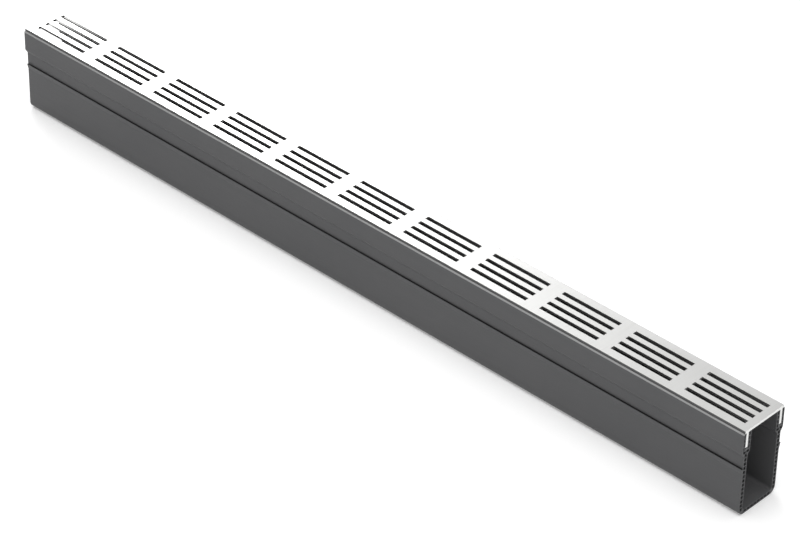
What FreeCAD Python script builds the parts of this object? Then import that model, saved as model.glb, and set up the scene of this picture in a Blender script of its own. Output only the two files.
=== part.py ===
import FreeCAD, Part
import os

import Sketcher

# A one metre channel drain: an extruded multi-chamber channel with a slotted
# grating laid in the grooves of its two lips.
# Frame: X along the channel, Y across it, Z up, origin at the middle of the underside.

document = FreeCAD.newDocument("channel_drain")

# Driving sizes in millimetres
sizes = document.addObject("Spreadsheet::Sheet", "sizes")
driving_sizes = [
    ("channel_length", "1000"),
    ("channel_width", "60.6"),
    ("channel_height", "100"),
    ("outer_lip", "3.5"),
    ("inner_lip", "4.1"),
    ("flange_thickness", "3"),
    ("groove_play", "0.25"),
    ("groove_depth", "18.7"),
    ("groove_floor_gap", "1.2"),
    ("lip_shoulder", "1.4"),
    ("lip_height", "23.2"),
    ("outer_taper_height", "5"),
    ("inner_taper_height", "4.5"),
    ("wall_setback", "3"),
    ("wall_thickness", "5.3"),
    ("floor_thickness", "4.8"),
    ("outer_corner", "8"),
    ("inner_corner", "3.5"),
    ("rib_level", "58"),
    ("rib_reach", "1.7"),
    ("rib_undercut", "0.8"),
    ("rib_height", "7"),
    ("chamber_skin", "0.95"),
    ("chamber_web", "1"),
    ("lip_chambers", "4"),
    ("wall_chambers", "13"),
    ("floor_chambers", "8"),
    ("corner_chamber_height", "4"),
    ("corner_chamber_cut", "1.1"),
    ("plate_thickness", "2.8"),
    ("plate_setback", "1.5"),
    ("plate_edge", "0.3"),
    ("slot_groups", "11"),
    ("slot_rows", "4"),
    ("slot_width", "5"),
    ("row_pitch", "11"),
    ("bar_width", "18"),
    ("end_margin", "8.5"),
]
for row, (alias, value) in enumerate(driving_sizes, start=1):
    sizes.set(f"A{row}", alias)
    sizes.set(f"B{row}", value)
    sizes.setAlias(f"B{row}", alias)
document.recompute()

# Faces and levels that several outlines share, from the driving sizes
OUTER_FACE = "sizes.channel_width / 2"
GROOVE_OUTER = f"({OUTER_FACE} - sizes.outer_lip)"
FLANGE_OUTER = f"({GROOVE_OUTER} - sizes.groove_play)"
FLANGE_INNER = f"({FLANGE_OUTER} - sizes.flange_thickness)"
GROOVE_INNER = f"({FLANGE_INNER} - sizes.groove_play)"
LIP_INNER = f"({GROOVE_INNER} - sizes.inner_lip)"
WALL_OUTER = f"({OUTER_FACE} - sizes.wall_setback)"
WALL_INNER = f"({WALL_OUTER} - sizes.wall_thickness)"
GROOVE_FLOOR = "(sizes.channel_height - sizes.groove_depth)"
LIP_BOTTOM = "(sizes.channel_height - sizes.lip_height)"
WALL_CHAMBER_TOP = f"({LIP_BOTTOM} - 2.3 * sizes.chamber_web)"
SHOULDER_BOTTOM = f"({WALL_CHAMBER_TOP} + sizes.chamber_web)"
CORNER_TOP = "(sizes.floor_thickness + sizes.corner_chamber_height)"


def origin_part(body, role):
    """The plane or axis of a body's own origin that has this role."""
    return next(item for item in body.Origin.OriginFeatures if item.Role == role)


def new_body(name):
    """An empty body whose label names its file."""
    body = document.addObject("PartDesign::Body", name)
    body.Label = name
    body.Placement = FreeCAD.Placement()
    return body


def new_sketch(body, name, plane):
    """A sketch on one of the body's own origin planes."""
    sketch = body.newObject("Sketcher::SketchObject", name)
    sketch.AttachmentSupport = [(origin_part(body, plane), "")]
    sketch.MapMode = "FlatFace"
    return sketch


def hold(sketch, kind, line, expression):
    """Tie the start of a line to the origin, sideways or upwards, by an expression."""
    index = sketch.addConstraint(Sketcher.Constraint(kind, -1, 1, line, 1, 1.0))
    sketch.setExpression(f"Constraints[{index}]", expression)


def add_outline(sketch, corners):
    """A closed outline whose corners are pairs of expressions."""
    count = len(corners)
    first = sketch.GeometryCount
    turn = FreeCAD.Rotation(FreeCAD.Vector(0, 0, 1), 360 / count)
    start = FreeCAD.Vector(1, 0, 0)
    for _ in corners:
        end = turn.multVec(start)
        sketch.addGeometry(Part.LineSegment(start, end), False)
        start = end
    for step in range(count):
        following = first + (step + 1) % count
        sketch.addConstraint(Sketcher.Constraint("Coincident", first + step, 2, following, 1))
    for step, (sideways, upwards) in enumerate(corners):
        hold(sketch, "DistanceX", first + step, sideways)
        hold(sketch, "DistanceY", first + step, upwards)


def mirrored(corners):
    """The same outline on the other side of the middle, in the opposite order."""
    return [(f"-({sideways})", upwards) for sideways, upwards in reversed(corners)]


def block(left, right, bottom, top):
    """The four corners of an upright rectangle."""
    return [(left, bottom), (right, bottom), (right, top), (left, top)]


def extrude(body, kind, name, sketch):
    """A pad or pocket along the whole channel, half to each side of the middle."""
    feature = body.newObject(f"PartDesign::{kind}", name)
    feature.Profile = sketch
    feature.Midplane = True
    feature.setExpression("Length", "sizes.channel_length")
    document.recompute()
    return feature


def cut_checked(body, name, sketch):
    """A pocket along the whole channel that has to remove material."""
    before = body.Shape.Volume
    feature = extrude(body, "Pocket", name, sketch)
    if body.Shape.Volume >= before:
        raise RuntimeError(f"{name} removes nothing")
    return feature


def repeat(body, name, original, axis, reverse, length, count):
    """Copies of a feature along one of the body's own axes."""
    pattern = body.newObject("PartDesign::LinearPattern", name)
    pattern.Originals = [original]
    pattern.Direction = (origin_part(body, axis), [""])
    pattern.Reversed = reverse
    pattern.setExpression("Length", length)
    pattern.setExpression("Occurrences", count)
    body.Tip = pattern
    document.recompute()
    return pattern


def edges_along(shape, sideways, upwards):
    """Names of the edges that run along X at this place, on both sides of the middle."""
    names = []
    for number, edge in enumerate(shape.Edges, start=1):
        box = edge.BoundBox
        lies_along = box.XLength > sizes.channel_length / 2
        at_side = abs(abs(box.Center.y) - sideways) < 0.01
        if lies_along and at_side and abs(box.Center.z - upwards) < 0.01:
            names.append(f"Edge{number}")
    return names


def round_edges(body, name, base, places, radius):
    """A fillet on the long edges at these places."""
    names = []
    for sideways, upwards in places:
        names += edges_along(base.Shape, sideways, upwards)
    if len(names) != 2 * len(places):
        raise RuntimeError(f"{name} finds {len(names)} edges")
    fillet = body.newObject("PartDesign::Fillet", name)
    fillet.Base = (base, names)
    fillet.setExpression("Radius", radius)
    document.recompute()
    return fillet


# Channel body: one extruded section with lips, grooves, ribs and hollow chambers
channel = new_body("channel_body")

right_side = [
    (WALL_OUTER, "0"),
    (WALL_OUTER, "sizes.rib_level - sizes.rib_height"),
    (f"{WALL_OUTER} + sizes.rib_reach", "sizes.rib_level"),
    (WALL_OUTER, "sizes.rib_level - sizes.rib_undercut"),
    (WALL_OUTER, f"{LIP_BOTTOM} - sizes.outer_taper_height"),
    (OUTER_FACE, LIP_BOTTOM),
    (OUTER_FACE, "sizes.channel_height"),
    (GROOVE_OUTER, "sizes.channel_height"),
    (GROOVE_OUTER, GROOVE_FLOOR),
    (GROOVE_INNER, GROOVE_FLOOR),
    (GROOVE_INNER, "sizes.channel_height"),
    (LIP_INNER, "sizes.channel_height"),
    (LIP_INNER, LIP_BOTTOM),
    (WALL_INNER, f"{LIP_BOTTOM} - sizes.inner_taper_height"),
    (WALL_INNER, "sizes.floor_thickness"),
]
section = new_sketch(channel, "channel_section", "YZ_Plane")
add_outline(section, right_side + mirrored(right_side))
channel_pad = extrude(channel, "Pad", "channel_extrusion", section)

# Rounded corners of the trough, inside and out, and the soft shoulder of each outer lip
wall_outer = sizes.channel_width / 2 - sizes.wall_setback
wall_inner = wall_outer - sizes.wall_thickness
outer_corners = round_edges(
    channel, "outer_corners", channel_pad, [(wall_outer, 0)], "sizes.outer_corner"
)
inner_corners = round_edges(
    channel, "inner_corners", outer_corners, [(wall_inner, sizes.floor_thickness)], "sizes.inner_corner"
)
lip_shoulders = round_edges(
    channel,
    "lip_shoulders",
    inner_corners,
    [(sizes.channel_width / 2, sizes.channel_height)],
    "sizes.lip_shoulder",
)

# Chambers in the lips, one above the other down to the level of the groove floor
LIP_CHAMBER_STACK = f"(sizes.channel_height - {GROOVE_FLOOR} + 1.7 * sizes.chamber_web)"
LIP_CHAMBER_PITCH = f"({LIP_CHAMBER_STACK} / sizes.lip_chambers)"
LIP_CHAMBER_TOP = "(sizes.channel_height - sizes.chamber_skin)"
LIP_CHAMBER_BOTTOM = f"(sizes.channel_height + sizes.chamber_web - sizes.chamber_skin - {LIP_CHAMBER_PITCH})"
outer_lip_chamber = block(
    f"{GROOVE_OUTER} + sizes.chamber_skin",
    f"{OUTER_FACE} - sizes.chamber_skin",
    LIP_CHAMBER_BOTTOM,
    LIP_CHAMBER_TOP,
)
inner_lip_chamber = block(
    f"{LIP_INNER} + sizes.chamber_skin",
    f"{GROOVE_INNER} - sizes.chamber_skin",
    LIP_CHAMBER_BOTTOM,
    LIP_CHAMBER_TOP,
)
lip_sketch = new_sketch(channel, "lip_chamber_section", "YZ_Plane")
for chamber in (outer_lip_chamber, inner_lip_chamber):
    add_outline(lip_sketch, chamber)
    add_outline(lip_sketch, mirrored(chamber))
lip_pocket = cut_checked(channel, "lip_chamber", lip_sketch)
repeat(
    channel,
    "lip_chamber_stack",
    lip_pocket,
    "Z_Axis",
    True,
    f"{LIP_CHAMBER_PITCH} * (sizes.lip_chambers - 1)",
    "sizes.lip_chambers",
)

# A pair of wider chambers side by side under each groove, leaning with the tapers
SHOULDER_TOP = f"(sizes.channel_height - sizes.chamber_skin - {LIP_CHAMBER_STACK})"
SHOULDER_MIDDLE = f"(({OUTER_FACE} + {LIP_INNER}) / 2)"
outer_shoulder_chamber = [
    (f"{SHOULDER_MIDDLE} + sizes.chamber_web / 2", SHOULDER_BOTTOM),
    (f"{OUTER_FACE} - 1.9 * sizes.chamber_skin", SHOULDER_BOTTOM),
    (f"{OUTER_FACE} - sizes.chamber_skin", SHOULDER_TOP),
    (f"{SHOULDER_MIDDLE} + sizes.chamber_web / 2", SHOULDER_TOP),
]
inner_shoulder_chamber = [
    (f"{LIP_INNER} + 1.3 * sizes.chamber_skin", SHOULDER_BOTTOM),
    (f"{SHOULDER_MIDDLE} - sizes.chamber_web / 2", SHOULDER_BOTTOM),
    (f"{SHOULDER_MIDDLE} - sizes.chamber_web / 2", SHOULDER_TOP),
    (f"{LIP_INNER} + sizes.chamber_skin", SHOULDER_TOP),
]
shoulder_sketch = new_sketch(channel, "shoulder_chamber_section", "YZ_Plane")
for chamber in (outer_shoulder_chamber, inner_shoulder_chamber):
    add_outline(shoulder_sketch, chamber)
    add_outline(shoulder_sketch, mirrored(chamber))
cut_checked(channel, "shoulder_chambers", shoulder_sketch)

# Chambers down each wall, evenly spread between the shoulder and the corner chamber
WALL_CHAMBER_PITCH = f"(({WALL_CHAMBER_TOP} - {CORNER_TOP}) / sizes.wall_chambers)"
WALL_CHAMBER_LEFT = f"{WALL_INNER} + sizes.chamber_skin"
WALL_CHAMBER_RIGHT = f"{WALL_OUTER} - sizes.chamber_skin"
wall_chamber = block(
    WALL_CHAMBER_LEFT,
    WALL_CHAMBER_RIGHT,
    f"{WALL_CHAMBER_TOP} + sizes.chamber_web - {WALL_CHAMBER_PITCH}",
    WALL_CHAMBER_TOP,
)
wall_sketch = new_sketch(channel, "wall_chamber_section", "YZ_Plane")
add_outline(wall_sketch, wall_chamber)
add_outline(wall_sketch, mirrored(wall_chamber))
wall_pocket = cut_checked(channel, "wall_chamber", wall_sketch)
repeat(
    channel,
    "wall_chamber_stack",
    wall_pocket,
    "Z_Axis",
    True,
    f"{WALL_CHAMBER_PITCH} * (sizes.wall_chambers - 1)",
    "sizes.wall_chambers",
)

# The lowest chamber of each wall gives way to the rounded corner
corner_chamber = [
    (WALL_CHAMBER_LEFT, "sizes.floor_thickness"),
    (f"{WALL_CHAMBER_RIGHT} - sizes.corner_chamber_cut", "sizes.floor_thickness"),
    (WALL_CHAMBER_RIGHT, CORNER_TOP),
    (WALL_CHAMBER_LEFT, CORNER_TOP),
]
corner_sketch = new_sketch(channel, "corner_chamber_section", "YZ_Plane")
add_outline(corner_sketch, corner_chamber)
add_outline(corner_sketch, mirrored(corner_chamber))
cut_checked(channel, "corner_chambers", corner_sketch)

# Chambers side by side in the floor, between the rounded corners
FLOOR_HALF = f"({WALL_OUTER} - sizes.outer_corner + sizes.chamber_web)"
FLOOR_CHAMBER_PITCH = f"(2 * {FLOOR_HALF} / sizes.floor_chambers)"
floor_sketch = new_sketch(channel, "floor_chamber_section", "YZ_Plane")
add_outline(
    floor_sketch,
    block(
        f"-{FLOOR_HALF} + sizes.chamber_web / 2",
        f"{FLOOR_CHAMBER_PITCH} - {FLOOR_HALF} - sizes.chamber_web / 2",
        "sizes.chamber_skin",
        "sizes.floor_thickness - sizes.chamber_skin",
    ),
)
floor_pocket = cut_checked(channel, "floor_chamber", floor_sketch)
repeat(
    channel,
    "floor_chamber_row",
    floor_pocket,
    "Y_Axis",
    False,
    f"{FLOOR_CHAMBER_PITCH} * (sizes.floor_chambers - 1)",
    "sizes.floor_chambers",
)

# Slotted grating: a flat plate on the lips with two flanges down in the grooves
grating = new_body("slotted_grating")

PLATE_SIDE = f"({OUTER_FACE} - sizes.plate_setback)"
PLATE_TOP = "sizes.channel_height + sizes.plate_thickness"
FLANGE_FOOT = f"{GROOVE_FLOOR} + sizes.groove_floor_gap"
grating_side = [
    (FLANGE_INNER, "sizes.channel_height"),
    (FLANGE_INNER, FLANGE_FOOT),
    (FLANGE_OUTER, FLANGE_FOOT),
    (FLANGE_OUTER, "sizes.channel_height"),
    (PLATE_SIDE, "sizes.channel_height"),
    (PLATE_SIDE, PLATE_TOP),
]
grating_sketch = new_sketch(grating, "grating_section", "YZ_Plane")
add_outline(grating_sketch, grating_side + mirrored(grating_side))
grating_pad = extrude(grating, "Pad", "grating_extrusion", grating_sketch)
plate_top = sizes.channel_height + sizes.plate_thickness
round_edges(
    grating,
    "plate_edges",
    grating_pad,
    [(sizes.channel_width / 2 - sizes.plate_setback, plate_top)],
    "sizes.plate_edge",
)

# Slots: the four of one group, then the groups along the plate
GROUP_PITCH = (
    "((sizes.channel_length - 2 * sizes.end_margin + sizes.bar_width) / sizes.slot_groups)"
)
SLOT_START = "(sizes.end_margin - sizes.channel_length / 2)"
FIRST_ROW = "(-sizes.row_pitch * (sizes.slot_rows - 1) / 2)"
slot_sketch = new_sketch(grating, "slot_outline", "XY_Plane")
add_outline(
    slot_sketch,
    block(
        SLOT_START,
        f"{SLOT_START} + {GROUP_PITCH} - sizes.bar_width",
        f"{FIRST_ROW} - sizes.slot_width / 2",
        f"{FIRST_ROW} + sizes.slot_width / 2",
    ),
)
unslotted_volume = grating.Shape.Volume
slot = grating.newObject("PartDesign::Pocket", "slot")
slot.Profile = slot_sketch
slot.Midplane = True
slot.setExpression("Length", f"3 * ({PLATE_TOP})")
document.recompute()
if grating.Shape.Volume >= unslotted_volume:
    raise RuntimeError("slot removes nothing")
slots = grating.newObject("PartDesign::MultiTransform", "slots")
slots.Originals = [slot]
rows = grating.newObject("PartDesign::LinearPattern", "slot_rows")
rows.Direction = (origin_part(grating, "Y_Axis"), [""])
rows.setExpression("Length", "sizes.row_pitch * (sizes.slot_rows - 1)")
rows.setExpression("Occurrences", "sizes.slot_rows")
groups = grating.newObject("PartDesign::LinearPattern", "slot_groups")
groups.Direction = (origin_part(grating, "X_Axis"), [""])
groups.setExpression("Length", f"{GROUP_PITCH} * (sizes.slot_groups - 1)")
groups.setExpression("Occurrences", "sizes.slot_groups")
slots.Transformations = [rows, groups]
grating.Tip = slots
document.recompute()

# Every object is sound before anything is written
for item in document.Objects:
    if "Invalid" in item.State or "Error" in item.State:
        raise RuntimeError(f"{item.Name} is {item.State}")
nodes = [channel, grating]
for node in nodes:
    if node.Shape.isNull() or not node.Shape.isValid() or len(node.Shape.Solids) != 1:
        raise RuntimeError(f"{node.Label} has no sound shape")

os.makedirs("parts", exist_ok=True)
for node in nodes:
    node.Shape.exportStep(f"parts/{node.Label}.step")
    box = node.Shape.BoundBox
    print(node.Label, round(node.Shape.Volume), box)
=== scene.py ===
import math

import bpy
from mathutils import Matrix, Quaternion, Vector


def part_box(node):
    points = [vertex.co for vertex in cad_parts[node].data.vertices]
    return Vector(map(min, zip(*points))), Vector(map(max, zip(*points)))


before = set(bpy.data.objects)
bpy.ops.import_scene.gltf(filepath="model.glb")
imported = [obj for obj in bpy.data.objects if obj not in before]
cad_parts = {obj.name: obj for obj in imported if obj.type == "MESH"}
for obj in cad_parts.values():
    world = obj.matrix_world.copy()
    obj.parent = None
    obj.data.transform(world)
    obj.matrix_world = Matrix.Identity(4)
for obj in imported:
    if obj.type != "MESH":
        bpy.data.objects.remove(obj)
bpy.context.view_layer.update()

# The look of a channel drain: matt extruded plastic, a cross-brushed metal grating,
# a white studio floor and the photograph's camera. Lengths are in metres.

MILLIMETRE = 0.001

# Levels and faces of the section, from the frame
channel_low, channel_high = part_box("channel_body")
grating_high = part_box("slotted_grating")[1]
LIP_TOP = channel_high.z
LIP_FACE = channel_high.y
PLATE_SIDE = grating_high.y

# Places on the section that the painted highlight and painted shade follow
SHOULDER_DROP = 1.5 * MILLIMETRE
SHOULDER_WIDTH = 1.4 * MILLIMETRE
RIB_LEVEL = 57.6 * MILLIMETRE
RIB_SHADE_HALF = 0.5 * MILLIMETRE
RIB_FACE = 27.0 * MILLIMETRE
SOFT_EDGE = 0.2 * MILLIMETRE

# Plastic: its two greys, the painted highlight on the shoulder, the painted shade in the undercut and the
# drawn lines
PLASTIC_DARK = (0.082, 0.083, 0.086, 1)
PLASTIC_LIGHT = (0.098, 0.098, 0.100, 1)
# Painted highlight on the shoulder of each lip
PAINTED_SHOULDER_HIGHLIGHT = (0.30, 0.30, 0.30, 1)
# Painted shade in the undercut above the rib
UNDERCUT_PAINTED_SHADE = (0.012, 0.012, 0.013, 1)
LENGTHWAYS_LINES = (3.0, 700.0, 700.0)
PLASTIC_ROUGHNESS = (0.5, 0.66)
PLASTIC_SPECULAR = 0.35
PLASTIC_BUMP = 0.12

# Metal: its two greys, the painted shade on the long edges and the lines brushed across
METAL_DARK = (0.66, 0.66, 0.65, 1)
METAL_LIGHT = (0.76, 0.76, 0.75, 1)
# Painted shade on the long edges of the plate
PAINTED_EDGE_SHADE = (0.10, 0.10, 0.10, 1)
CROSSWAYS_LINES = (1400.0, 12.0, 300.0)
METAL_ROUGHNESS = (0.34, 0.42)
METAL_BUMP = 0.25

# Depth of the fine lines, and the size and detail of the noise behind them
LINE_DEPTH = 0.02 * MILLIMETRE
LINE_DETAIL = 3.0
CLOUD_SCALE = 14.0
CLOUD_DETAIL = 4.0

# Camera, lamps and backdrop
CAMERA_PLACE = Vector((1.9452, -2.0606, 2.0537))
CAMERA_AIM = Vector((0.0684, -0.0356, 0.0698))
CAMERA_ROLL = math.radians(1.17)
CAMERA_LENS = 153.5
SENSOR_WIDTH = 36.0
HALF_PIXEL = 0.5 / 800
WORLD_STRENGTH = 0.55
WHITE = (1.0, 1.0, 1.0, 1.0)
# Each lamp: name, place, point it faces, width, depth and power in watts
LAMPS = (
    ("overhead", (0.2, -0.4, 3.0), (0, 0, 0), 2.5, 2.5, 60),
    ("far_window", (-4.2, 2.6, 2.6), (-0.3, 0, 0.1), 2.6, 2.0, 110),
)
FLOOR_SIZE = 30.0
FLOOR_COLOUR = (0.86, 0.86, 0.86, 1.0)
FLOOR_GLOW = 0.22


def new_material(name):
    """An empty material with its node tree, output and Principled shader."""
    material = bpy.data.materials.new(name)
    material.use_nodes = True
    nodes = material.node_tree.nodes
    return material, nodes, material.node_tree.links, nodes["Principled BSDF"]


def math_node(nodes, links, operation, first, second):
    """A Math node with two inputs, each a socket or a number."""
    node = nodes.new("ShaderNodeMath")
    node.operation = operation
    for socket, value in zip(node.inputs, (first, second)):
        if isinstance(value, (int, float)):
            socket.default_value = value
        else:
            links.new(value, socket)
    return node.outputs["Value"]


def blend_colour(nodes, links, mask, first, second):
    """A colour mix by a mask, each colour a socket or a value."""
    mix = nodes.new("ShaderNodeMix")
    mix.data_type = "RGBA"
    links.new(mask, mix.inputs["Factor"])
    for name, value in (("A", first), ("B", second)):
        socket = next(s for s in mix.inputs if s.name == name and s.type == "RGBA")
        if isinstance(value, tuple):
            socket.default_value = value
        else:
            links.new(value, socket)
    return next(s for s in mix.outputs if s.type == "RGBA")


def drawn_lines_group():
    """Fine lines drawn out along one direction: a line mask and a slow cloudy mask."""
    group = bpy.data.node_groups.new("drawn_lines", "ShaderNodeTree")
    stretch = group.interface.new_socket("Stretch", in_out="INPUT", socket_type="NodeSocketVector")
    stretch.default_value = (1.0, 1.0, 1.0)
    group.interface.new_socket("Lines", in_out="OUTPUT", socket_type="NodeSocketFloat")
    group.interface.new_socket("Clouds", in_out="OUTPUT", socket_type="NodeSocketFloat")
    nodes, links = group.nodes, group.links
    inward = nodes.new("NodeGroupInput")
    outward = nodes.new("NodeGroupOutput")
    place = nodes.new("ShaderNodeTexCoord")
    scaled = nodes.new("ShaderNodeVectorMath")
    scaled.operation = "MULTIPLY"
    links.new(place.outputs["Object"], scaled.inputs[0])
    links.new(inward.outputs["Stretch"], scaled.inputs[1])
    lines = nodes.new("ShaderNodeTexNoise")
    lines.inputs["Scale"].default_value = 1.0
    lines.inputs["Detail"].default_value = LINE_DETAIL
    links.new(scaled.outputs["Vector"], lines.inputs["Vector"])
    clouds = nodes.new("ShaderNodeTexNoise")
    clouds.inputs["Scale"].default_value = CLOUD_SCALE
    clouds.inputs["Detail"].default_value = CLOUD_DETAIL
    links.new(place.outputs["Object"], clouds.inputs["Vector"])
    links.new(lines.outputs["Fac"], outward.inputs["Lines"])
    links.new(clouds.outputs["Fac"], outward.inputs["Clouds"])
    return group


def band_group():
    """A soft-edged band about one value: 1 inside it and 0 outside."""
    group = bpy.data.node_groups.new("band", "ShaderNodeTree")
    for name in ("Value", "Middle", "Half", "Edge"):
        group.interface.new_socket(name, in_out="INPUT", socket_type="NodeSocketFloat")
    group.interface.new_socket("Mask", in_out="OUTPUT", socket_type="NodeSocketFloat")
    nodes, links = group.nodes, group.links
    inward = nodes.new("NodeGroupInput")
    outward = nodes.new("NodeGroupOutput")
    away = math_node(nodes, links, "SUBTRACT", inward.outputs["Value"], inward.outputs["Middle"])
    distance = math_node(nodes, links, "ABSOLUTE", away, 0.0)
    inside = math_node(nodes, links, "SUBTRACT", inward.outputs["Half"], distance)
    softened = nodes.new("ShaderNodeMath")
    softened.operation = "DIVIDE"
    softened.use_clamp = True
    links.new(inside, softened.inputs[0])
    links.new(inward.outputs["Edge"], softened.inputs[1])
    links.new(softened.outputs["Value"], outward.inputs["Mask"])
    return group


DRAWN_LINES = drawn_lines_group()
BAND = band_group()


def add_lines(nodes, stretch):
    """The drawn lines group placed in a material."""
    node = nodes.new("ShaderNodeGroup")
    node.node_tree = DRAWN_LINES
    node.inputs["Stretch"].default_value = stretch
    return node


def add_band(nodes, links, value, middle, half):
    """The band group placed in a material, about a value along one direction."""
    node = nodes.new("ShaderNodeGroup")
    node.node_tree = BAND
    links.new(value, node.inputs["Value"])
    node.inputs["Middle"].default_value = middle
    node.inputs["Half"].default_value = half
    node.inputs["Edge"].default_value = SOFT_EDGE
    return node.outputs["Mask"]


def section_place(nodes, links):
    """Height above the floor and distance from the channel's middle plane."""
    place = nodes.new("ShaderNodeTexCoord")
    split = nodes.new("ShaderNodeSeparateXYZ")
    links.new(place.outputs["Object"], split.inputs["Vector"])
    aside = math_node(nodes, links, "ABSOLUTE", split.outputs["Y"], 0.0)
    return split.outputs["Z"], aside


def add_bump(nodes, links, shader, height, strength, distance):
    """A bump from a height socket into the shader's normal."""
    bump = nodes.new("ShaderNodeBump")
    bump.inputs["Strength"].default_value = strength
    bump.inputs["Distance"].default_value = distance
    links.new(height, bump.inputs["Height"])
    links.new(bump.outputs["Normal"], shader.inputs["Normal"])


def vary(nodes, links, value, low, high):
    """A 0 to 1 value spread between two numbers."""
    spread = nodes.new("ShaderNodeMapRange")
    spread.inputs["To Min"].default_value = low
    spread.inputs["To Max"].default_value = high
    links.new(value, spread.inputs["Value"])
    return spread.outputs["Result"]


def extruded_plastic():
    """Matt dark grey plastic with faint lines drawn along the channel."""
    material, nodes, links, shader = new_material("extruded_plastic")
    height, aside = section_place(nodes, links)
    grain = add_lines(nodes, LENGTHWAYS_LINES)
    tone = vary(nodes, links, grain.outputs["Clouds"], 0.0, 1.0)
    colour = blend_colour(nodes, links, tone, PLASTIC_DARK, PLASTIC_LIGHT)
    # The rounded shoulder of each outer lip gets a pale painted highlight
    low_shoulder = add_band(nodes, links, height, LIP_TOP, SHOULDER_DROP)
    out_shoulder = add_band(nodes, links, aside, LIP_FACE, SHOULDER_WIDTH)
    shoulder = math_node(nodes, links, "MULTIPLY", low_shoulder, out_shoulder)
    colour = blend_colour(nodes, links, shoulder, colour, PAINTED_SHOULDER_HIGHLIGHT)
    # Painted shade darkens the undercut above the rib
    at_rib = add_band(nodes, links, height, RIB_LEVEL, RIB_SHADE_HALF)
    outside = math_node(nodes, links, "GREATER_THAN", aside, RIB_FACE)
    undercut = math_node(nodes, links, "MULTIPLY", at_rib, outside)
    colour = blend_colour(nodes, links, undercut, colour, UNDERCUT_PAINTED_SHADE)
    links.new(colour, shader.inputs["Base Color"])
    roughness = vary(nodes, links, grain.outputs["Lines"], *PLASTIC_ROUGHNESS)
    links.new(roughness, shader.inputs["Roughness"])
    shader.inputs["Specular IOR Level"].default_value = PLASTIC_SPECULAR
    add_bump(nodes, links, shader, grain.outputs["Lines"], PLASTIC_BUMP, LINE_DEPTH)
    return material


def brushed_metal():
    """Pale metal with fine lines brushed across the plate and painted shade on its long edges."""
    material, nodes, links, shader = new_material("brushed_metal")
    aside = section_place(nodes, links)[1]
    grain = add_lines(nodes, CROSSWAYS_LINES)
    colour = blend_colour(nodes, links, grain.outputs["Lines"], METAL_DARK, METAL_LIGHT)
    # Painted shade along the plate's long side faces
    edge_shade_mask = add_band(nodes, links, aside, PLATE_SIDE, 2 * SOFT_EDGE)
    colour = blend_colour(nodes, links, edge_shade_mask, colour, PAINTED_EDGE_SHADE)
    links.new(colour, shader.inputs["Base Color"])
    shader.inputs["Metallic"].default_value = 1.0
    roughness = vary(nodes, links, grain.outputs["Clouds"], *METAL_ROUGHNESS)
    links.new(roughness, shader.inputs["Roughness"])
    add_bump(nodes, links, shader, grain.outputs["Lines"], METAL_BUMP, LINE_DEPTH)
    return material


def studio_floor():
    """White floor that keeps the shadow and shows white to the camera."""
    material, nodes, links, shader = new_material("studio_floor")
    shader.inputs["Base Color"].default_value = FLOOR_COLOUR
    shader.inputs["Roughness"].default_value = 1.0
    shader.inputs["Specular IOR Level"].default_value = 0.0
    shader.inputs["Emission Color"].default_value = WHITE
    rays = nodes.new("ShaderNodeLightPath")
    seen = math_node(nodes, links, "MAXIMUM", rays.outputs["Is Camera Ray"], rays.outputs["Is Glossy Ray"])
    seen = math_node(nodes, links, "MAXIMUM", seen, rays.outputs["Is Transmission Ray"])
    glow = math_node(nodes, links, "MULTIPLY", seen, FLOOR_GLOW)
    links.new(glow, shader.inputs["Emission Strength"])
    return material


def add_floor():
    """A wide flat floor under the channel."""
    bpy.ops.object.select_all(action="DESELECT")
    bpy.ops.mesh.primitive_plane_add(size=FLOOR_SIZE, location=(0, 0, channel_low.z))
    bpy.ops.object.transform_apply(location=True, rotation=True, scale=True)
    floor = bpy.context.object
    floor.name = "floor"
    floor.data.materials.append(studio_floor())


def add_lamp(name, place, aim, width, depth, power):
    """A soft rectangular lamp turned to a point."""
    data = bpy.data.lights.new(name, "AREA")
    data.shape = "RECTANGLE"
    data.size = width
    data.size_y = depth
    data.energy = power
    lamp = bpy.data.objects.new(name, data)
    bpy.context.collection.objects.link(lamp)
    lamp.location = place
    lamp.rotation_mode = "QUATERNION"
    lamp.rotation_quaternion = (Vector(aim) - Vector(place)).to_track_quat("-Z", "Y")


def add_world():
    """Even studio light from all round."""
    world = bpy.data.worlds.new("studio")
    world.use_nodes = True
    world.node_tree.nodes["Background"].inputs["Color"].default_value = WHITE
    world.node_tree.nodes["Background"].inputs["Strength"].default_value = WORLD_STRENGTH
    bpy.context.scene.world = world


def add_camera():
    """The photograph's long lens, from above the near end."""
    data = bpy.data.cameras.new("camera")
    data.lens = CAMERA_LENS
    data.sensor_width = SENSOR_WIDTH
    data.shift_x = -HALF_PIXEL
    data.shift_y = HALF_PIXEL
    camera = bpy.data.objects.new("camera", data)
    bpy.context.collection.objects.link(camera)
    camera.location = CAMERA_PLACE
    camera.rotation_mode = "QUATERNION"
    turned = (CAMERA_AIM - CAMERA_PLACE).to_track_quat("-Z", "Y")
    camera.rotation_quaternion = turned @ Quaternion((0, 0, 1), CAMERA_ROLL)
    bpy.context.scene.camera = camera


def finish_node(name, material):
    """A CAD node's material slots all take one finish."""
    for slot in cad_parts[name].material_slots:
        slot.material = material


finish_node("channel_body", extruded_plastic())
finish_node("slotted_grating", brushed_metal())
add_floor()
add_world()
for lamp_values in LAMPS:
    add_lamp(*lamp_values)
add_camera()
bpy.context.scene.view_settings.view_transform = "Standard"
